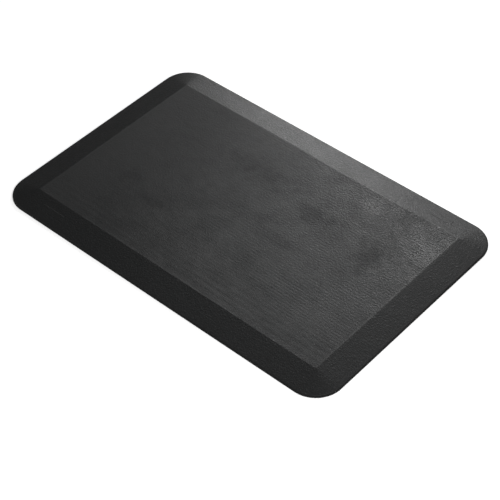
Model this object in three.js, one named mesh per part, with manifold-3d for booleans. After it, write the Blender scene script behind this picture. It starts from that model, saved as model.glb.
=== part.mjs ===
// Anti-fatigue floor mat: a thin tough skin moulded as a shallow upside-down tray, a foam core
// that fills it, and a non-slip base sheet that closes it underneath.
//
// Millimetres, +Z up. +X runs along the long edges and +Y towards the back edge.
// The origin is on the floor, under the centre of the mat.

import * as THREE from 'three';
import { mergeVertices } from 'three/addons/utils/BufferGeometryUtils.js';
import Module from 'manifold-3d';

const wasm = await Module();
wasm.setup();

// Overall form
const LENGTH = 864;
const DEPTH = 559;
const HEIGHT = 16;
const LIP_HEIGHT = 6; // where the upright edge and the sloping border would meet if left sharp
const EDGE_RADIUS = 3; // rolls the upright edge over into the border
const BORDER = 59; // width of the sloping border, seen from above
const FIELD_CORNER_RADIUS = 2; // of the flat standing field inside the border
const CORNER_STEPS = 9;
const EDGE_STEPS = 3;

// Layers
const SKIN_THICKNESS = 2;
const BASE_THICKNESS = 2;
const GAP = 0.3; // between touching layers

// Ribs moulded into the standing field, along X
const RIB_PITCH = 7;
const GROOVE_COUNT = 62;
const GROOVE_DEPTH = 0.2;
const GROOVE_FLOOR = 2;
const GROOVE_MOUTH = 4;
const RIB_END_MARGIN = 4; // plain land left between the rib ends and the border

// Blank raised pads on the border, one at the front left and one at the back right
const PAD_LENGTH = 60;
const PAD_WIDTH = 15;
const PAD_RADIUS = 4;
const PAD_RISE = 0.3;
const PAD_CENTRE_X = 305;

// Grid of shallow channels that parts the underside into grip pads
const CHANNEL_PITCH = 60;
const CHANNEL_WIDTH = 3;
const CHANNEL_DEPTH = 0.6;
const CHANNELS_ACROSS_X = 13;
const CHANNELS_ACROSS_Y = 8;
const BASE_RIM = 20; // plain margin outside the channels

const CUT = 1; // how far a cutting shape runs past the surface it cuts

const cornerRadius = BORDER + FIELD_CORNER_RADIUS;
const slope = Math.atan2(HEIGHT - LIP_HEIGHT, BORDER);
const edgeTurn = Math.PI / 2 - slope;
const edgeCentreZ = LIP_HEIGHT - EDGE_RADIUS * Math.tan(edgeTurn / 2);

function roundedRectangle(length, width, radius) {
  const x = length / 2 - radius;
  const y = width / 2 - radius;
  const shape = new THREE.Shape();
  shape.absarc(x, y, radius, 0, Math.PI / 2);
  shape.absarc(-x, y, radius, Math.PI / 2, Math.PI);
  shape.absarc(-x, -y, radius, Math.PI, 1.5 * Math.PI);
  shape.absarc(x, -y, radius, 1.5 * Math.PI, 2 * Math.PI);
  return shape;
}

// The mat's plan outline, moved inwards by inset: all outlines share their corner centres.
function outline(inset) {
  return roundedRectangle(LENGTH - 2 * inset, DEPTH - 2 * inset, cornerRadius - inset);
}

// Section of the mat's side, at a depth below its surface, from the bottom up to the flat field:
// a list of [inset, z]. The upright wall, the rolled edge and the slope stay parallel at any depth.
function sideSection(depth, bottom) {
  const radius = EDGE_RADIUS - depth;
  const section = [[depth, bottom]];
  for (let step = 0; step <= EDGE_STEPS; step += 1) {
    const angle = (edgeTurn * step) / EDGE_STEPS;
    section.push([EDGE_RADIUS - radius * Math.cos(angle), edgeCentreZ + radius * Math.sin(angle)]);
  }
  section.push([BORDER + depth * Math.tan(slope / 2), HEIGHT - depth]);
  return section;
}

// Closed solid with that section all round: one ring of points for each [inset, z], walls between
// the rings, and a flat face on the first and the last ring.
function trayGeometry(section) {
  const rings = section.map(([inset]) => outline(inset).getPoints(CORNER_STEPS));
  const count = rings[0].length;
  const positions = [];
  rings.forEach((ring, level) => {
    for (const point of ring) positions.push(point.x, point.y, section[level][1]);
  });
  const index = [];
  for (let level = 0; level < rings.length - 1; level += 1) {
    for (let i = 0; i < count; i += 1) {
      const a = level * count + i;
      const b = level * count + ((i + 1) % count);
      index.push(a, b, b + count, a, b + count, a + count);
    }
  }
  const top = (rings.length - 1) * count;
  for (const [a, b, c] of THREE.ShapeUtils.triangulateShape(rings[0], [])) {
    index.push(c, b, a);
  }
  for (const [a, b, c] of THREE.ShapeUtils.triangulateShape(rings.at(-1), [])) {
    index.push(top + a, top + b, top + c);
  }
  const geometry = new THREE.BufferGeometry();
  geometry.setAttribute('position', new THREE.Float32BufferAttribute(positions, 3));
  geometry.setIndex(index);
  return geometry;
}

function solidFrom(geometry) {
  const bare = geometry.clone();
  bare.deleteAttribute('normal');
  bare.deleteAttribute('uv');
  const merged = mergeVertices(bare);
  return new wasm.Manifold(new wasm.Mesh({
    numProp: 3,
    vertProperties: merged.attributes.position.array,
    triVerts: new Uint32Array(merged.index.array),
  }));
}

function geometryFrom(solid) {
  const { vertProperties, triVerts } = solid.getMesh();
  const geometry = new THREE.BufferGeometry();
  geometry.setAttribute('position', new THREE.BufferAttribute(vertProperties, 3));
  geometry.setIndex(new THREE.BufferAttribute(triVerts, 1));
  geometry.computeVertexNormals();
  return geometry;
}

// Comb that cuts all the grooves at once: trapezoid teeth under one bar, extruded along X.
function grooveComb() {
  const wallRun = (GROOVE_MOUTH - GROOVE_FLOOR) / 2;
  const barZ = HEIGHT + GROOVE_DEPTH;
  const mouthAtBar = GROOVE_FLOOR / 2 + 2 * wallRun;
  const floorZ = HEIGHT - GROOVE_DEPTH;
  const firstY = (-(GROOVE_COUNT - 1) / 2) * RIB_PITCH;
  const comb = new THREE.Shape();
  comb.moveTo(firstY - mouthAtBar, barZ + CUT);
  for (let groove = 0; groove < GROOVE_COUNT; groove += 1) {
    const y = firstY + groove * RIB_PITCH;
    comb.lineTo(y - mouthAtBar, barZ);
    comb.lineTo(y - GROOVE_FLOOR / 2, floorZ);
    comb.lineTo(y + GROOVE_FLOOR / 2, floorZ);
    comb.lineTo(y + mouthAtBar, barZ);
  }
  comb.lineTo(-firstY + mouthAtBar, barZ + CUT);
  comb.closePath();
  const length = LENGTH - 2 * (BORDER + RIB_END_MARGIN);
  const geometry = new THREE.ExtrudeGeometry(comb, { depth: length, bevelEnabled: false });
  const alongX = new THREE.Matrix4().makeBasis(
    new THREE.Vector3(0, 1, 0),
    new THREE.Vector3(0, 0, 1),
    new THREE.Vector3(1, 0, 0),
  );
  return geometry.applyMatrix4(alongX).translate(-length / 2, 0, 0);
}

// One blank pad, lying on the middle of the front border near its left end.
function frontPad() {
  const shape = roundedRectangle(PAD_LENGTH, PAD_WIDTH, PAD_RADIUS);
  const root = SKIN_THICKNESS / 2; // how deep the pad is rooted in the skin
  const geometry = new THREE.ExtrudeGeometry(shape, {
    depth: root + PAD_RISE,
    bevelEnabled: false,
    curveSegments: 4,
  });
  return geometry
    .translate(0, 0, -root)
    .rotateX(slope)
    .translate(-PAD_CENTRE_X, -(DEPTH - BORDER) / 2, (HEIGHT + LIP_HEIGHT) / 2);
}

function topSkin() {
  const pad = frontPad();
  const outer = solidFrom(trayGeometry(sideSection(0, 0)));
  const hollow = solidFrom(trayGeometry(sideSection(SKIN_THICKNESS, -CUT)));
  return outer
    .subtract(solidFrom(grooveComb()))
    .add(solidFrom(pad))
    .add(solidFrom(pad.clone().rotateZ(Math.PI)))
    .subtract(hollow);
}

function foamCore() {
  return solidFrom(trayGeometry(sideSection(SKIN_THICKNESS + GAP, BASE_THICKNESS + GAP)));
}

// The channels of one direction: boxes sunk into the underside, spaced across it.
function channelBoxes(count, alongX) {
  const span = (alongX ? LENGTH : DEPTH) - 2 * BASE_RIM;
  const height = 2 * CHANNEL_DEPTH;
  const boxes = [];
  for (let channel = 0; channel < count; channel += 1) {
    const offset = (channel - (count - 1) / 2) * CHANNEL_PITCH;
    boxes.push(alongX
      ? new THREE.BoxGeometry(span, CHANNEL_WIDTH, height).translate(0, offset, 0)
      : new THREE.BoxGeometry(CHANNEL_WIDTH, span, height).translate(offset, 0, 0));
  }
  return boxes;
}

function baseSheet() {
  const inset = SKIN_THICKNESS + GAP;
  let sheet = solidFrom(trayGeometry([[inset, 0], [inset, BASE_THICKNESS]]));
  const channels = [
    ...channelBoxes(CHANNELS_ACROSS_X, false),
    ...channelBoxes(CHANNELS_ACROSS_Y, true),
  ];
  for (const box of channels) sheet = sheet.subtract(solidFrom(box));
  return sheet;
}

function layer(name, solid, look) {
  const mesh = new THREE.Mesh(geometryFrom(solid), new THREE.MeshStandardMaterial(look));
  mesh.name = name;
  return mesh;
}

const mat = new THREE.Group();
mat.add(
  layer('top_skin', topSkin(), { color: 0x2b2c2d, roughness: 0.55, metalness: 0 }),
  layer('foam_core', foamCore(), { color: 0x3a3a3b, roughness: 0.9, metalness: 0 }),
  layer('base_sheet', baseSheet(), { color: 0x1c1c1d, roughness: 0.7, metalness: 0 }),
);

export default mat;
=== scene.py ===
"""The looks of an anti-fatigue mat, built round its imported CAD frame.

The CAD's plain layers are replaced by finely modelled ones: a ribbed and grained skin, the foam
core inside it, and the non-slip base sheet. Everything is in metres, in the CAD's own frame.
"""
import math

import bpy
import numpy as np
from mathutils import Matrix, Vector, noise


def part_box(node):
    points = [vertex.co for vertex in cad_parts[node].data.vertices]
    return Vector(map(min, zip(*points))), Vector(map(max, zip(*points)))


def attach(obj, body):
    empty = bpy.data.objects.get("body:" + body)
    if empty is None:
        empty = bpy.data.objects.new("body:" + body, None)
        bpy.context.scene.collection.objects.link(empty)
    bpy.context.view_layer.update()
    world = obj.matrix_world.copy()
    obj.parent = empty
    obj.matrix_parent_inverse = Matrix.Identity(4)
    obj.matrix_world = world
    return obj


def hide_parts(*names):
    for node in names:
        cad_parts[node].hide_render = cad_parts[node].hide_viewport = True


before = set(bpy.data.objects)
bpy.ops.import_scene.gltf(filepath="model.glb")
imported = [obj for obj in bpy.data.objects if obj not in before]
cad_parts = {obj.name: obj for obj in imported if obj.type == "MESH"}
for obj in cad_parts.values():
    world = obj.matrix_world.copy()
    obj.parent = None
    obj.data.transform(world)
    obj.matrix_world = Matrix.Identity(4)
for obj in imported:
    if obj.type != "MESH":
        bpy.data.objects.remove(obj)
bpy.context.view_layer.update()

MM = 0.001
UP = math.pi / 2  # upwards, as an angle in a section of the mat's side

# The mat's form, as in the CAD
BORDER = 59 * MM
FIELD_CORNER_RADIUS = 2 * MM
LIP_HEIGHT = 6 * MM
EDGE_RADIUS = 3 * MM
SKIN_THICKNESS = 2 * MM

# What softens that form
CREASE_RADIUS = 16 * MM  # between the field and the border
RIM_RADIUS = 0.6 * MM  # along the skin's lower edge
RIM_BEVEL = 0.3 * MM  # on the inside of that edge
EDGE_HOLD = 0.5 * MM  # an extra ring this far from the rolled edge keeps what is beside it flat
RIM_HOLD = 0.4 * MM  # the same, above the rim
EDGE_NORMAL_Z = 0.8  # faces whose normal rises less than this belong to the duller edge

# The ribs of the standing field
RIB_PITCH = 7 * MM
GROOVE_COUNT = 62
GROOVE_DEPTH = 0.055 * MM
GROOVE_HALF_WIDTH = 2.4 * MM
FIELD_MARGIN = 4 * MM  # plain land left between the ribs and the border
RIB_END_RAMP = 3 * MM  # length over which the grooves rise to nothing at their ends
RIBS_GROW_X = (-200 * MM, 120 * MM)  # over this stretch of X the grooves grow deeper,
RIBS_KEPT = (0.25, 1.1)  # from the first of these shares of their depth to the second
LEAST_KEPT = 0.1  # the share that is left where the ribs are most worn
WIDE_RIB_BAND = 8 * RIB_PITCH  # along the front edge the ribs are twice as wide
WIDE_GROOVE_DEPTH = 0.08 * MM
LEAST_WIDE_KEPT = 0.7  # as LEAST_KEPT, for the wide ribs
MEAN_STRENGTH = 0.9  # of the ribs, before they wear unevenly

# Smooth waves in the top's height and in the ribs' strength: how high or strong they are, their
# size, and the layer of noise that each one reads
BROAD_SWELL = (0.3 * MM, 120 * MM, 0.3)
MIDDLING_SWELL = (0.08 * MM, 48 * MM, 4.1)
BROAD_WEAR = (0.8, 70 * MM, 8.2)
SMALL_WEAR = (0.5, 25 * MM, 2.7)
SWELL_SINK = 0.15 * MM  # lowers the swell, so that its highest waves lie near the CAD's height
STREAK = 0.7  # unevenness is drawn out along the ribs: its size across over its size along

# Dull (above zero) and shiny (below zero) patches of the field: centre, half sizes, strength
# besides the gloss, each patch darkens (dull) or lightens (shiny) the colour: painted sheen
DULL_PATCHES = (
    (0.108, 0.084, 0.045, 0.026, 1.1),
    (0.268, 0.072, 0.034, 0.050, 1.0),
    (-0.055, 0.112, 0.090, 0.036, 0.9),
    (0.090, -0.095, 0.024, 0.028, 0.3),
    (0.090, -0.020, 0.075, 0.018, 0.8),
    (-0.160, -0.096, 0.045, 0.012, 0.9),
    (-0.260, -0.068, 0.024, 0.022, 1.2),
    (0.190, 0.182, 0.028, 0.019, -1.4),
    (0.325, 0.155, 0.065, 0.060, -1.0),
    (0.290, -0.120, 0.055, 0.055, -0.8),
    (0.130, 0.030, 0.060, 0.022, -0.5),
    (0.200, -0.050, 0.040, 0.025, -0.4),
    (0.350, 0.130, 0.030, 0.060, -0.6),
)
PATCH_FADE = (0.2, 1.3)  # a patch fades out between these shares of its half sizes
PATCH_RAGGED = 0.45  # how far its outline strays, as such a share

# Towards the back right of the field the grain grows coarser, over these stretches of X and Y
COARSE_X = (-0.05, 0.15)
COARSE_Y = (-0.13, 0.15)

# Towards the left end of the field painted light pales it, over this stretch of X
PAINTED_LIGHT_LEFT_X = (-0.2, -0.36)
PAINTED_LIGHT_LEFT_SHARE = 0.23

# Where the skin's finish changes; distances outwards from the crease are above zero
FIELD_TO_BORDER = (-1.5 * MM, 0.5 * MM)
CREASE_HIGHLIGHT_INSET = 1.5 * MM  # a painted highlight line runs this far inside the crease,
CREASE_HIGHLIGHT_FADE = (0.8 * MM, 3.2 * MM)  # and fades out over this stretch on both sides
EDGE_FADE = 0.7 * MM  # drop over which painted shade darkens the rolled edge

# The blank pads on the border
PAD_LENGTH = 60 * MM
PAD_WIDTH = 15 * MM
PAD_RADIUS = 4 * MM
PAD_RISE = 0.3 * MM
PAD_EASE = 1.5 * MM  # width over which the pad's edge curves down
PAD_TOP_RADIUS = 0.5 * MM  # corners of the flat part of the pad's top
PAD_CENTRE_X = 305 * MM

# The foam core's surface
FOAM_STEP = 3.5 * MM  # of its mesh
FOAM_DIMPLE = 0.25 * MM
PORE_SIZE = 1.7 * FOAM_STEP
PORE_DEPTH = 0.4 * MM
PORE_LEAST = 0.7  # a cell whose random value is below this has no pore

# The channels of the underside
CHANNEL_PITCH = 60 * MM
CHANNEL_WIDTH = 3 * MM
CHANNEL_DEPTH = 0.6 * MM
CHANNELS_ACROSS_X = 13
CHANNELS_ACROSS_Y = 8
CHANNEL_SOFT = 0.4 * MM  # a channel's side eases down over two steps of this width,
CHANNEL_SHOULDER = 0.8  # the first of which goes down by this share of its depth
BASE_RIM = 20 * MM
BASE_SOFT = 0.3 * MM  # rounding of the base sheet's edges

# Mesh density
CORNER_STEPS = 16
CREASE_STEPS = 5
BORDER_STEPS = 11
EDGE_STEPS = 8
RIM_STEPS = 4
GROOVE_STEPS = 6
COARSE_ARC_STEPS = 3  # of arcs that hardly show
PAD_EDGE_STEPS = 6
FOAM_BORDER_STEPS = 13
GRID_STEP = 10 * MM  # along the ribs
PAD_STEP = 2 * MM
SHARP_ANGLE = math.radians(35)

# Colours and finish
SKIN_DARK = (0.0045, 0.0050, 0.0053)
SKIN_PALE = (0.0210, 0.0214, 0.0215)
SKIN_PAINTED_LIGHT = (0.06, 0.06, 0.06)  # painted highlight along the crease, and painted light towards the field's left end
DUST_SPECK = (0.07, 0.07, 0.07)
# painted shade for the rolled edge and the upright lip below it
EDGE_PAINTED_SHADE = (0.003, 0.003, 0.003)
SKIN_ROUGHNESS = 0.41
LEAST_ROUGHNESS = 0.27
NOISE_SPREAD = (0.3, 0.7)  # between these lie nearly all the values of a noise texture
PEBBLE_BEND = 2 * MM  # how far noise shifts the edges of the grain's pebbles at most,
PEBBLE_BEND_SCALE = 300  # and the scale of that noise

# The photograph's view, solved from the mat's straight edges in it: degrees and metres, and the
# lens in millimetres
CAMERA_AZIMUTH = 43.41
CAMERA_ELEVATION = 45.34
CAMERA_ROLL = -2.27
CAMERA_DISTANCE = 2.988
CAMERA_TARGET = Vector((0.0676, -0.0606, 0.0))
CAMERA_LENS = 108.05

# Floor and light
FLOOR_SIZE = 30
FLOOR_DROP = 0.2 * MM  # keeps the floor clear of the underside
FLOOR_GLOW = 0.6
WORLD_LIGHT = 0.05
SOFT_BOX_SIZE = 0.616
SOFT_BOX_DISTANCE = 2.2

# Soft boxes: name, azimuth from +Y towards -X and elevation in degrees, power in watts. The two
# fills are given; the others come from a fit to the photograph's brightness, rounded.
SOFT_BOXES = (
    ("key", -120, 40, 21.5),
    ("fill_right", -45, 30, 5),
    ("fill_left", 120, 20, 5),
    ("low_back", 30, 20, 6.5),
    ("back", 30, 30, 1.6),
    ("back_right", 15, 40, 7.6),
    ("high_back", 45, 50, 2.5),
)


# ---------------------------------------------------------------- mesh building


class Plan:
    """A rounded rectangle centred on the origin."""

    def __init__(self, length, depth, corner):
        self.half_x = length / 2
        self.half_y = depth / 2
        self.corner = corner

    def ring(self, inset, z, xs, ys):
        """Points round the outline moved inwards: one for each grid line, and arcs at the corners."""
        radius = self.corner - inset
        x0 = self.half_x - self.corner
        y0 = self.half_y - self.corner
        along_x = np.asarray(xs) * (x0 / xs[-1])
        along_y = np.asarray(ys) * (y0 / ys[-1])
        sides = (
            [(x, -y0 - radius) for x in along_x],
            [(x0 + radius, y) for y in along_y],
            [(x, y0 + radius) for x in along_x[::-1]],
            [(-x0 - radius, y) for y in along_y[::-1]],
        )
        centres = ((x0, -y0), (x0, y0), (-x0, y0), (-x0, -y0))
        points = []
        for turn, (side, centre) in enumerate(zip(sides, centres)):
            points += side
            for step in range(1, CORNER_STEPS):
                angle = math.pi / 2 * (turn - 1 + step / CORNER_STEPS)
                x = centre[0] + radius * math.cos(angle)
                y = centre[1] + radius * math.sin(angle)
                points.append((x, y))
        return [(x, y, z) for x, y in points]


def grid_rim(nx, ny):
    """The vertex numbers round a grid's edge, as in a plan's ring: corners repeat along arcs."""
    sides = (
        list(range(nx)),
        [j * nx + nx - 1 for j in range(ny)],
        [(ny - 1) * nx + i for i in reversed(range(nx))],
        [j * nx for j in reversed(range(ny))],
    )
    rim = []
    for side in sides:
        rim += side + [side[-1]] * (CORNER_STEPS - 1)
    return rim


def bridge(inner, outer):
    """Faces between two loops of vertex numbers; where the inner one stands still, triangles."""
    faces = []
    for i, (a, b) in enumerate(zip(inner, outer)):
        j = (i + 1) % len(inner)
        if inner[j] == a:
            faces.append((a, b, outer[j]))
        else:
            faces.append((a, b, outer[j], inner[j]))
    return faces


def layer_mesh(name, plan, xs, ys, heights, section, relief=None, relief_rings=0):
    """Closed mesh: a height field on grid lines, rings of a section round it, and a flat cap.

    relief gives each point (x, y, z) of the height field and of the first rings its final height.
    """
    nx, ny = len(xs), len(ys)
    points = [(x, y, heights[j][i]) for j, y in enumerate(ys) for i, x in enumerate(xs)]
    faces = [
        (j * nx + i, j * nx + i + 1, (j + 1) * nx + i + 1, (j + 1) * nx + i)
        for j in range(ny - 1)
        for i in range(nx - 1)
    ]
    loop = grid_rim(nx, ny)
    for inset, z in section:
        ring = plan.ring(inset, z, xs, ys)
        following = list(range(len(points), len(points) + len(ring)))
        points += ring
        faces += bridge(loop, following)
        loop = following
    faces.append(tuple(reversed(loop)))
    if relief:
        raised = nx * ny + relief_rings * len(loop)
        points[:raised] = [(x, y, relief(x, y, z)) for x, y, z in points[:raised]]
    mesh = bpy.data.meshes.new(name)
    mesh.from_pydata(points, [], faces)
    mesh.validate()
    mesh.shade_smooth()
    piece = bpy.data.objects.new(name, mesh)
    bpy.context.scene.collection.objects.link(piece)
    return piece


def arc(centre, radius, start, end, steps):
    """Points (inset, z) on an arc; angles run from 0 for inwards to a right angle for upwards."""
    angles = np.linspace(start, end, steps + 1)
    return [(centre[0] + radius * math.cos(a), centre[1] + radius * math.sin(a)) for a in angles]


def even_lines(limit, step):
    """Grid lines from -limit to limit, evenly spaced and no further apart than a step."""
    return np.linspace(-limit, limit, 2 * math.ceil(limit / step) + 1)


# ---------------------------------------------------------------- the mat's form


skin_low, skin_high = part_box("top_skin")
base_low, base_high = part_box("base_sheet")
foam_low, foam_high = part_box("foam_core")
LENGTH = skin_high.x - skin_low.x
DEPTH = skin_high.y - skin_low.y
HEIGHT = skin_high.z - skin_low.z
CORNER_RADIUS = BORDER + FIELD_CORNER_RADIUS
SLOPE = math.atan2(HEIGHT - LIP_HEIGHT, BORDER)
EDGE_CENTRE = (EDGE_RADIUS, LIP_HEIGHT - EDGE_RADIUS * math.tan((UP - SLOPE) / 2))
ROLL_TOP = EDGE_CENTRE[1] + EDGE_RADIUS * math.cos(SLOPE)  # where the border rolls over
FIELD_X = LENGTH / 2 - BORDER
FIELD_Y = DEPTH / 2 - BORDER
RIBS_END_X = FIELD_X - FIELD_MARGIN
RIBS_END_Y = FIELD_Y - FIELD_MARGIN
WIDE_RIBS_END = WIDE_RIB_BAND - RIBS_END_Y


def slope_height(inset):
    """How high the sloping border is, this far in from the outline."""
    return LIP_HEIGHT + inset * math.tan(SLOPE)


def border_section():
    """From the field's edge out over the border to the rolled edge."""
    crease_start = CREASE_RADIUS * math.tan(SLOPE / 2)
    crease_centre = (BORDER + crease_start, HEIGHT - CREASE_RADIUS)
    section = arc(crease_centre, CREASE_RADIUS, UP, UP + SLOPE, CREASE_STEPS)
    edge = arc(EDGE_CENTRE, EDGE_RADIUS, UP + SLOPE, math.pi, EDGE_STEPS)
    for inset in np.linspace(section[-1][0], edge[0][0] + EDGE_HOLD, BORDER_STEPS + 1)[1:]:
        section.append((inset, slope_height(inset)))
    return section + edge


def inner_section():
    """From the rolled edge down the lip, and back up inside the skin."""
    section = [(0.0, EDGE_CENTRE[1] - EDGE_HOLD), (0.0, RIM_RADIUS + RIM_HOLD)]
    section += arc((RIM_RADIUS, RIM_RADIUS), RIM_RADIUS, math.pi, math.pi + UP, RIM_STEPS)
    section += [(SKIN_THICKNESS - RIM_BEVEL, 0.0), (SKIN_THICKNESS, RIM_BEVEL)]
    radius = EDGE_RADIUS - SKIN_THICKNESS
    section += arc(EDGE_CENTRE, radius, math.pi, UP + SLOPE, COARSE_ARC_STEPS)
    section.append((BORDER + SKIN_THICKNESS * math.tan(SLOPE / 2), HEIGHT - SKIN_THICKNESS))
    return section


def groove_lines():
    """The grid lines across the ribs, and how deep the grooves are on each of them."""
    shares = np.linspace(-1, 1, GROOVE_STEPS + 1)
    lines = []
    depths = []
    for groove in range(GROOVE_COUNT):
        centre = (groove - (GROOVE_COUNT - 1) / 2) * RIB_PITCH
        for share in shares:
            lines.append(centre + share * GROOVE_HALF_WIDTH)
            depths.append(GROOVE_DEPTH * (1 + math.cos(math.pi * share)) / 2)
        lines.append(centre + RIB_PITCH / 2)
        depths.append(0.0)
    lines = np.array([-RIBS_END_Y] + lines[:-1] + [RIBS_END_Y])
    depths = np.array([0.0] + depths[:-1] + [0.0])
    wide = WIDE_GROOVE_DEPTH * (1 - np.cos(math.pi * (lines + RIBS_END_Y) / RIB_PITCH)) / 2
    return lines, np.where(lines < WIDE_RIBS_END, wide, depths)


def waves(x, y, height, size, layer):
    """Smooth noise from -height to height, with features of about this size."""
    return height * noise.noise(Vector((x / size, y / size, layer)))


def swell(x, y, z):
    """Foam never cures quite flat: the top rises and falls by a tenth of a millimetre or so."""
    along = x * STREAK
    uneven = waves(along, y, *BROAD_SWELL) + waves(along, y, *MIDDLING_SWELL) - SWELL_SINK
    share = max(0.0, z - LIP_HEIGHT) / (HEIGHT - LIP_HEIGHT)
    return z + uneven * share


def rib_strength(x, y):
    """The ribs are worn and filled unevenly, and fade towards the left end of the field."""
    kept = np.interp(x, RIBS_GROW_X, RIBS_KEPT)
    return kept * (MEAN_STRENGTH + waves(x, y, *BROAD_WEAR) + waves(x, y, *SMALL_WEAR))


def blank_pad():
    """A low plain pad with softened edges, lying on the middle of the front border."""
    plan = Plan(PAD_LENGTH, PAD_WIDTH, PAD_RADIUS)
    xs = even_lines(PAD_LENGTH / 2 - PAD_RADIUS, 2 * PAD_STEP)
    ys = even_lines(PAD_WIDTH / 2 - PAD_RADIUS, PAD_STEP)
    section = [(PAD_RADIUS - PAD_TOP_RADIUS, PAD_RISE)]
    for share in np.linspace(0, 1, PAD_EDGE_STEPS + 1):
        section.append((PAD_EASE * (1 - share), PAD_RISE * math.cos(share * UP)))
    section.append((0.0, -SKIN_THICKNESS / 2))
    heights = np.full((len(ys), len(xs)), PAD_RISE)
    pad = layer_mesh("blank_pad", plan, xs, ys, heights, section)
    middle = BORDER / 2
    place = Matrix.Translation((-PAD_CENTRE_X, middle - DEPTH / 2, slope_height(middle)))
    pad.data.transform(place @ Matrix.Rotation(SLOPE, 4, "X"))
    return pad


def join_solid(piece, addition):
    """Joins a closed mesh to a piece and removes the separate one."""
    union = piece.modifiers.new("union", "BOOLEAN")
    union.operation = "UNION"
    union.solver = "EXACT"
    union.object = addition
    shown = piece.evaluated_get(bpy.context.evaluated_depsgraph_get())
    joined = bpy.data.meshes.new_from_object(shown)
    piece.modifiers.clear()
    piece.data = joined
    bpy.data.objects.remove(addition)


def top_skin():
    """The skin as an upside-down tray: ribbed field, border, upright edge and hollow inside."""
    plan = Plan(LENGTH, DEPTH, CORNER_RADIUS)
    ramp = [RIBS_END_X, RIBS_END_X - RIB_END_RAMP / 2]
    xs = even_lines(RIBS_END_X - RIB_END_RAMP, GRID_STEP)
    xs = np.concatenate([np.negative(ramp), xs, ramp[::-1]])
    ys, depths = groove_lines()
    ramped = np.clip((RIBS_END_X - np.abs(xs)) / RIB_END_RAMP, 0, 1)
    least = np.where(ys < WIDE_RIBS_END, LEAST_WIDE_KEPT, LEAST_KEPT)
    strength = np.array([[rib_strength(x, y) for x in xs] for y in ys])
    heights = HEIGHT - depths[:, None] * ramped[None, :] * np.maximum(strength, least[:, None])
    outside = border_section()
    section = outside + inner_section()
    skin = layer_mesh("mat_skin", plan, xs, ys, heights, section, swell, len(outside))
    join_solid(skin, blank_pad())
    opposite = blank_pad()
    opposite.data.transform(Matrix.Rotation(math.pi, 4, "Z"))
    join_solid(skin, opposite)
    return skin


def mark_edge(piece):
    """Gives the steep faces low on the skin's edge the second material."""
    for face in piece.data.polygons:
        upright = abs(face.normal.z) < EDGE_NORMAL_Z and face.center.z < LIP_HEIGHT
        face.material_index = int(upright)


def pitted(x, y, z):
    """The height of the foam's surface: dimpled all over, with an open pore in some cells."""
    point = Vector((x, y, z))
    dimple = FOAM_DIMPLE * (1 + noise.noise(point / (2 * FOAM_STEP)))
    pore = PORE_DEPTH * max(0.0, noise.cell(point / PORE_SIZE) - PORE_LEAST)
    return z - dimple - pore


def foam_core():
    """The core, with open pores where the moulded foam was cast against the skin."""
    depth = skin_high.z - foam_high.z
    plan = Plan(LENGTH - 2 * depth, DEPTH - 2 * depth, CORNER_RADIUS - depth)
    radius = EDGE_RADIUS - depth
    crease = BORDER + depth * math.tan(SLOPE / 2) - depth
    xs = even_lines(plan.half_x - crease - FIELD_MARGIN, FOAM_STEP)
    ys = even_lines(plan.half_y - crease - FIELD_MARGIN, FOAM_STEP)
    edge = arc((radius, EDGE_CENTRE[1]), radius, UP + SLOPE, math.pi, COARSE_ARC_STEPS)
    section = []
    for share in np.linspace(0, 1, FOAM_BORDER_STEPS + 1):
        inset = crease + share * (edge[0][0] - crease)
        height = foam_high.z + share * (edge[0][1] - foam_high.z)
        section.append((inset, height))
    section += edge[1:]
    section.append((0.0, foam_low.z))
    heights = np.full((len(ys), len(xs)), foam_high.z)
    return layer_mesh("foam_cushion", plan, xs, ys, heights, section, pitted, len(section) - 1)


def channel_lines(count, limit):
    """Grid lines across the channels of one direction, which lie between two end ramps.

    Each line comes with how deep the channels of this direction are on it, from 0 to 1, and how
    deep the channels that cross them are: they rise to nothing at the limit.
    """
    ramp = [(0.0, 0.0), (CHANNEL_SOFT, CHANNEL_SHOULDER), (2 * CHANNEL_SOFT, 1.0)]
    near = [(offset - CHANNEL_WIDTH / 2, share) for offset, share in ramp]
    far = [(-offset, share) for offset, share in reversed(near)]
    rows = [(offset - limit, 0.0, share) for offset, share in ramp]
    for channel in range(count):
        centre = (channel - (count - 1) / 2) * CHANNEL_PITCH
        rows += [(centre + offset, share, 1.0) for offset, share in near + far]
    rows += [(limit - offset, 0.0, share) for offset, share in reversed(ramp)]
    return np.array(rows).T


def base_sheet():
    """The underside: broad pads between shallow channels, inside a plain rim."""
    length = base_high.x - base_low.x
    depth = base_high.y - base_low.y
    plan = Plan(length, depth, CORNER_RADIUS - (LENGTH - length) / 2)
    xs, sunk_x, along_x = channel_lines(CHANNELS_ACROSS_X, LENGTH / 2 - BASE_RIM)
    ys, sunk_y, along_y = channel_lines(CHANNELS_ACROSS_Y, DEPTH / 2 - BASE_RIM)
    sunk = np.maximum(sunk_x[None, :] * along_y[:, None], along_x[None, :] * sunk_y[:, None])
    section = [(2 * BASE_SOFT, 0.0)]
    section += arc((BASE_SOFT, BASE_SOFT), -BASE_SOFT, UP, 0, COARSE_ARC_STEPS)
    section += [(0.0, base_high.z - BASE_SOFT), (BASE_SOFT, base_high.z)]
    sheet = layer_mesh("grip_base", plan, xs, ys, CHANNEL_DEPTH * sunk, section)
    sheet.data.flip_normals()  # it was built top side down
    return sheet


# ---------------------------------------------------------------- materials


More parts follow.
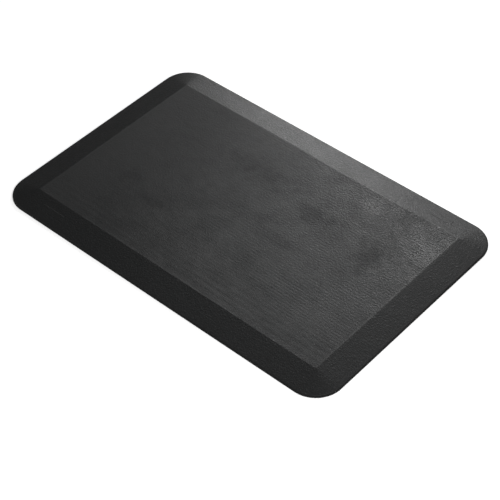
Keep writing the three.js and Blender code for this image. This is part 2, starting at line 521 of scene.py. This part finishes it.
class Surface:
    """A material's node tree, with one short call for each kind of node used here."""

    def __init__(self, name):
        self.material = bpy.data.materials.new(name)
        self.material.use_nodes = True
        self.tree = self.material.node_tree
        self.shader = self.tree.nodes["Principled BSDF"]
        self.place = self.node("ShaderNodeTexCoord").outputs["Object"]
        self.axes = self.node("ShaderNodeSeparateXYZ", {"Vector": self.place}).outputs

    def node(self, kind, inputs=(), **settings):
        """Adds a node; its inputs are fixed values or other nodes' outputs."""
        made = self.tree.nodes.new(kind)
        for key, value in settings.items():
            setattr(made, key, value)
        for key, value in dict(inputs).items():
            self.put(value, made.inputs[key])
        return made

    def put(self, value, socket):
        """Links another node's output to a socket, or sets a fixed value on it."""
        if isinstance(value, bpy.types.NodeSocket):
            self.tree.links.new(value, socket)
        else:
            socket.default_value = value

    def math(self, operation, *values):
        return self.node("ShaderNodeMath", dict(enumerate(values)), operation=operation).outputs[0]

    def times(self, first, second):
        return self.math("MULTIPLY", first, second)

    def vector_math(self, operation, *values, output="Vector"):
        made = self.node("ShaderNodeVectorMath", dict(enumerate(values)), operation=operation)
        return made.outputs[output]

    def scaled(self, scale, turn=0.0):
        """The place on the mat, stretched along the axes and turned about Z."""
        inputs = {"Vector": self.place, "Scale": scale, "Rotation": (0, 0, turn)}
        return self.node("ShaderNodeMapping", inputs).outputs[0]

    def noise(self, size, detail=2.0, roughness=0.5, vector=None):
        """Noise from 0 to 1, with features of about this size in metres."""
        inputs = {"Scale": 1 / size, "Detail": detail, "Roughness": roughness}
        inputs["Vector"] = vector or self.place
        return self.node("ShaderNodeTexNoise", inputs).outputs[0]

    def cells(self, size, vector=None):
        """Distance to the nearest cell centre, for cells of about this size in metres."""
        inputs = {"Scale": 1 / size, "Vector": vector or self.place}
        return self.node("ShaderNodeTexVoronoi", inputs).outputs["Distance"]

    def remap(self, value, source, target=(0.0, 1.0), smooth=False):
        """Carries one range over into another, and holds its ends beyond them."""
        inputs = {"Value": value, "From Min": source[0], "From Max": source[1]}
        inputs.update({"To Min": target[0], "To Max": target[1]})
        kind = "SMOOTHSTEP" if smooth else "LINEAR"
        return self.node("ShaderNodeMapRange", inputs, interpolation_type=kind).outputs[0]

    def between(self, share, first, second):
        """Runs from the first number to the second as the share runs from 0 to 1."""
        return self.remap(share, (0, 1), (first, second))

    def unevenness(self, size, detail=3, roughness=0.6, vector=None):
        """Noise from -1 to 1, with features of about this size in metres."""
        return self.remap(self.noise(size, detail, roughness, vector), NOISE_SPREAD, (-1, 1))

    def blend(self, share, first, second):
        """Mixes two colours by a share from 0 to 1."""
        mix = self.node("ShaderNodeMix", data_type="RGBA")
        self.put(share, mix.inputs["Factor"])
        for name, colour in (("A", first), ("B", second)):
            socket = next(s for s in mix.inputs if s.name == name and s.type == "RGBA")
            self.put(colour if isinstance(colour, bpy.types.NodeSocket) else (*colour, 1), socket)
        return next(s for s in mix.outputs if s.type == "RGBA")

    def weighted(self, *terms):
        """The sum of weight * value over the terms."""
        total = 0.0
        for weight, value in terms:
            total = self.math("MULTIPLY_ADD", value, weight, total)
        return total

    def bump(self, height, depth, below=None):
        """Bump whose height of 0 to 1 stands for this depth in metres."""
        inputs = {"Height": height, "Distance": depth, "Strength": 1.0}
        if below:
            inputs["Normal"] = below
        return self.node("ShaderNodeBump", inputs).outputs[0]

    def crease_distance(self):
        """How far a point lies outside the standing field, in metres; below zero inside it."""
        past_x = self.math("SUBTRACT", self.math("ABSOLUTE", self.axes["X"]), FIELD_X)
        past_y = self.math("SUBTRACT", self.math("ABSOLUTE", self.axes["Y"]), FIELD_Y)
        return self.math("MAXIMUM", past_x, past_y)

    def patches(self, places):
        """The sum of soft ragged ellipses, each given by its centre, half sizes and strength."""
        strays = (-PATCH_RAGGED, PATCH_RAGGED)
        ragged = self.remap(self.noise(22 * MM, detail=3), NOISE_SPREAD, strays)
        terms = []
        for x, y, half_x, half_y, strength in places:
            across = self.math("DIVIDE", self.math("SUBTRACT", self.axes["X"], x), half_x)
            up = self.math("DIVIDE", self.math("SUBTRACT", self.axes["Y"], y), half_y)
            offset = self.node("ShaderNodeCombineXYZ", {"X": across, "Y": up}).outputs[0]
            reach = self.math("ADD", self.vector_math("LENGTH", offset, output="Value"), ragged)
            terms.append((strength, self.remap(reach, PATCH_FADE, (1, 0), smooth=True)))
        return self.weighted(*terms)

    def finish(self, colour, roughness, normal):
        self.put(colour, self.shader.inputs["Base Color"])
        self.put(roughness, self.shader.inputs["Roughness"])
        self.put(normal, self.shader.inputs["Normal"])
        return self.material


class SkinPattern:
    """What the skin's colour, gloss and relief have in common: its zones and its unevenness.

    Zones are shares from 0 to 1, and unevenness runs from about -1 to 1.
    """

    def __init__(self, s):
        distance = s.crease_distance()
        self.border = s.remap(distance, FIELD_TO_BORDER, smooth=True)
        self.field = s.math("SUBTRACT", 1.0, self.border)
        # rises to 1 just below the rolled edge's top: painted shade darkens the colour there, and it
        # is duller
        self.edge = s.remap(s.axes["Z"], (ROLL_TOP - EDGE_FADE, ROLL_TOP), (1, 0))
        coarse = s.times(s.remap(s.axes["X"], COARSE_X), s.remap(s.axes["Y"], COARSE_Y))
        self.coarse = s.times(coarse, self.field)
        # painted light: the field pales towards its left end
        painted_left_light = s.remap(s.axes["X"], PAINTED_LIGHT_LEFT_X, (0, PAINTED_LIGHT_LEFT_SHARE), smooth=True)
        self.painted_left_light = s.times(painted_left_light, self.field)
        # a painted highlight along a line just inside the crease, which is also a little glossier
        off_line = s.math("ABSOLUTE", s.math("ADD", distance, CREASE_HIGHLIGHT_INSET))
        crease = s.remap(off_line, CREASE_HIGHLIGHT_FADE, (1, 0))
        self.crease_highlight = s.times(crease, s.remap(s.noise(40 * MM, detail=3), (0.3, 0.6), (0.3, 1)))

        self.drawn_out = s.scaled((STREAK, 1, 1))
        cloud = s.unevenness(75 * MM, vector=self.drawn_out)
        mottle = s.unevenness(24 * MM, vector=self.drawn_out)
        self.speckle = s.unevenness(3.4 * MM, detail=2, roughness=0.7)
        # the patches darken the colour where dull and lighten it where shiny: painted sheen
        blotches_and_sheen = s.weighted((0.45, cloud), (0.5, mottle), (-1.0, s.patches(DULL_PATCHES)))
        self.blotches_and_sheen = s.times(blotches_and_sheen, s.between(self.border, 1, 0.4))


def skin_colour(s, pattern):
    """Blotched, speckled charcoal; painted light at crease and left end, painted shade at the edge.
    """
    speckled = s.times(pattern.speckle, s.between(pattern.border, 0.17, 0.3))
    # the tone carries the patches' painted sheen as well as random blotches and speckle
    tone = s.weighted((0.45, pattern.blotches_and_sheen), (1, speckled), (1, 0.5))
    colour = s.blend(tone, SKIN_DARK, SKIN_PALE)
    # painted highlight along the crease, stronger towards the back right
    crease_highlight_share = s.times(pattern.crease_highlight, s.between(pattern.coarse, 0.28, 1))
    colour = s.blend(crease_highlight_share, colour, SKIN_PAINTED_LIGHT)
    # painted light towards the field's left end
    colour = s.blend(pattern.painted_left_light, colour, SKIN_PAINTED_LIGHT)
    specks = s.remap(s.noise(3.2 * MM, detail=1), (0.66, 0.74))
    speck_areas = s.remap(s.noise(160 * MM, detail=2), (0.5, 0.68), (0, 0.35))
    colour = s.blend(s.times(specks, speck_areas), colour, DUST_SPECK)
    # painted shade on the rolled edge and the lip below it
    return s.blend(s.times(pattern.edge, 0.7), colour, EDGE_PAINTED_SHADE)


def skin_roughness(s, pattern):
    """Shiny and dull blotches, glints in the grain, and a dull edge."""
    glinting = s.math("MAXIMUM", pattern.border, s.between(pattern.coarse, 0.4, 1))
    glints = s.times(pattern.speckle, glinting)
    sheen = s.weighted(
        (0.09, pattern.blotches_and_sheen), (0.05, pattern.crease_highlight), (-0.45, pattern.edge), (0.1, glints)
    )
    return s.math("MAXIMUM", LEAST_ROUGHNESS, s.math("SUBTRACT", SKIN_ROUGHNESS, sheen))


def bent_place(s):
    """The place on the mat, shifted a little by noise, so that cells laid out on it look bent."""
    inputs = {"Vector": s.place, "Scale": PEBBLE_BEND_SCALE, "Detail": 1}
    drift = s.node("ShaderNodeTexNoise", inputs).outputs["Color"]
    shift = s.vector_math("MULTIPLY", drift, (PEBBLE_BEND, PEBBLE_BEND, PEBBLE_BEND))
    return s.vector_math("ADD", s.place, shift)


def skin_relief(s, pattern):
    """Leather grain of bent pebbles, strong on the border and where the field's grain is coarse."""
    pebbles = s.remap(s.cells(3.2 * MM, vector=bent_place(s)), (0.1, 0.6), (1, 0), smooth=True)
    pebbling = s.math("MAXIMUM", pattern.border, s.between(pattern.coarse, 0.35, 2.0))
    grain = s.noise(4 * MM, detail=2, roughness=0.6)
    on_border = s.between(pattern.border, 0, 1.3)
    graining = s.math("MAXIMUM", on_border, s.between(pattern.coarse, 0.85, 3.0))
    normal = s.bump(s.times(pebbles, pebbling), 0.105 * MM)
    normal = s.bump(s.times(grain, graining), 0.3 * MM, normal)
    normal = s.bump(s.noise(14 * MM, detail=2, vector=pattern.drawn_out), 0.15 * MM, normal)
    return s.bump(s.noise(0.9 * MM, detail=2), 0.03 * MM, normal)


def skin_material(name, shine):
    """Charcoal polyurethane skin; shine is the shader's specular level."""
    s = Surface(name)
    s.shader.inputs["Specular IOR Level"].default_value = shine
    pattern = SkinPattern(s)
    colour = skin_colour(s, pattern)
    return s.finish(colour, skin_roughness(s, pattern), skin_relief(s, pattern))


def foam_material():
    """Dark polyurethane foam, pitted by pores of about a millimetre, with painted shade in them."""
    s = Surface("foam")
    pores = s.remap(s.cells(1.3 * MM), (0.15, 0.55), smooth=True)
    large = s.remap(s.cells(4.5 * MM), (0.1, 0.35), smooth=True)
    depth = s.times(pores, large)
    # the colour darkens into the pores: painted shade
    tone = s.times(depth, s.remap(s.noise(40 * MM, detail=3), NOISE_SPREAD, (0.7, 1)))
    colour = s.blend(tone, (0.02, 0.02, 0.021), (0.085, 0.085, 0.088))
    roughness = s.between(depth, 0.98, 0.82)
    return s.finish(colour, roughness, s.bump(depth, 0.5 * MM))


def base_material():
    """Matt black rubber with a fine diamond cross-hatch and a little dust in its low places."""
    s = Surface("base")
    ridges = []
    for turn in (math.pi / 4, -math.pi / 4):
        wave = s.node("ShaderNodeTexWave", {"Vector": s.scaled((1, 1, 1), turn), "Scale": 80.0})
        ridges.append(s.remap(wave.outputs["Fac"], (0.25, 0.75), smooth=True))
    studs = s.times(*ridges)
    cloud = s.noise(70 * MM, detail=4, roughness=0.6)
    speckle = s.noise(1.5 * MM, detail=2, roughness=0.7)
    dust = s.times(s.math("SUBTRACT", 1.0, studs), s.remap(cloud, (0.4, 0.75), (0.05, 0.5)))
    colour = s.blend(speckle, (0.010, 0.010, 0.0105), (0.019, 0.019, 0.0195))
    colour = s.blend(dust, colour, (0.05, 0.049, 0.047))
    roughness = s.math("ADD", s.remap(cloud, (0.25, 0.75), (0.58, 0.72)), s.times(dust, 0.3))
    normal = s.bump(studs, 0.25 * MM)
    return s.finish(colour, roughness, s.bump(speckle, 0.03 * MM, normal))


def floor_material():
    """White floor that glows a little, as bright as the photograph's background."""
    s = Surface("floor")
    shade = s.noise(400 * MM, detail=3)
    colour = s.blend(shade, (0.86, 0.86, 0.86), (0.88, 0.88, 0.88))
    s.shader.inputs["Specular IOR Level"].default_value = 0.1
    s.shader.inputs["Emission Color"].default_value = (1, 1, 1, 1)
    s.shader.inputs["Emission Strength"].default_value = FLOOR_GLOW
    return s.finish(colour, 0.9, s.bump(s.noise(3 * MM, detail=3), 0.02 * MM))


# ---------------------------------------------------------------- pieces


def mount_piece(piece, node, material):
    """Gives a piece its material and body, and puts it in the CAD node's place."""
    piece.data.materials.clear()
    piece.data.materials.append(material)
    piece.data.set_sharp_from_angle(angle=SHARP_ANGLE)
    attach(piece, "root")
    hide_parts(node)


skin = top_skin()
foam = foam_core()
base = base_sheet()
mount_piece(skin, "top_skin", skin_material("skin", shine=0.5))
skin.data.materials.append(skin_material("skin_edge", shine=0.25))
mark_edge(skin)
mount_piece(foam, "foam_core", foam_material())
mount_piece(base, "base_sheet", base_material())


# ---------------------------------------------------------------- floor, light and camera


def studio_floor():
    """A wide floor just under the mat."""
    bpy.ops.mesh.primitive_plane_add(size=FLOOR_SIZE)
    floor = bpy.context.object
    floor.name = "studio_floor"
    floor.location.z = -FLOOR_DROP
    floor.data.materials.append(floor_material())


def soft_box(name, azimuth, elevation, power):
    """A square light aimed at the origin from this direction."""
    light = bpy.data.lights.new(name, "AREA")
    light.shape = "SQUARE"
    light.size = SOFT_BOX_SIZE
    light.energy = power
    turn, rise = math.radians(azimuth), math.radians(elevation)
    flat = math.cos(rise)
    towards = Vector((-math.sin(turn) * flat, math.cos(turn) * flat, math.sin(rise)))
    lamp = bpy.data.objects.new(name, light)
    lamp.location = towards * SOFT_BOX_DISTANCE
    lamp.rotation_mode = "QUATERNION"
    lamp.rotation_quaternion = towards.to_track_quat("Z", "Y")
    lamp.visible_camera = False
    bpy.context.scene.collection.objects.link(lamp)


def world_light(strength):
    world = bpy.data.worlds.new("studio")
    world.use_nodes = True
    background = world.node_tree.nodes["Background"]
    background.inputs["Color"].default_value = (1, 1, 1, 1)
    background.inputs["Strength"].default_value = strength
    bpy.context.scene.world = world


def camera():
    """The photograph's view, by turns about the point that the camera looks at."""
    data = bpy.data.cameras.new("camera")
    data.lens = CAMERA_LENS
    cam = bpy.data.objects.new("camera", data)
    turn = Matrix.Rotation(math.radians(CAMERA_AZIMUTH), 4, "Z")
    tilt = Matrix.Rotation(math.radians(90 - CAMERA_ELEVATION), 4, "X")
    roll = Matrix.Rotation(math.radians(CAMERA_ROLL), 4, "Z")
    back_off = Matrix.Translation((0, 0, CAMERA_DISTANCE))
    cam.matrix_world = Matrix.Translation(CAMERA_TARGET) @ turn @ tilt @ roll @ back_off
    bpy.context.scene.collection.objects.link(cam)
    bpy.context.scene.camera = cam


studio_floor()
world_light(WORLD_LIGHT)
for settings in SOFT_BOXES:
    soft_box(*settings)
camera()
bpy.context.scene.view_settings.view_transform = "Standard"
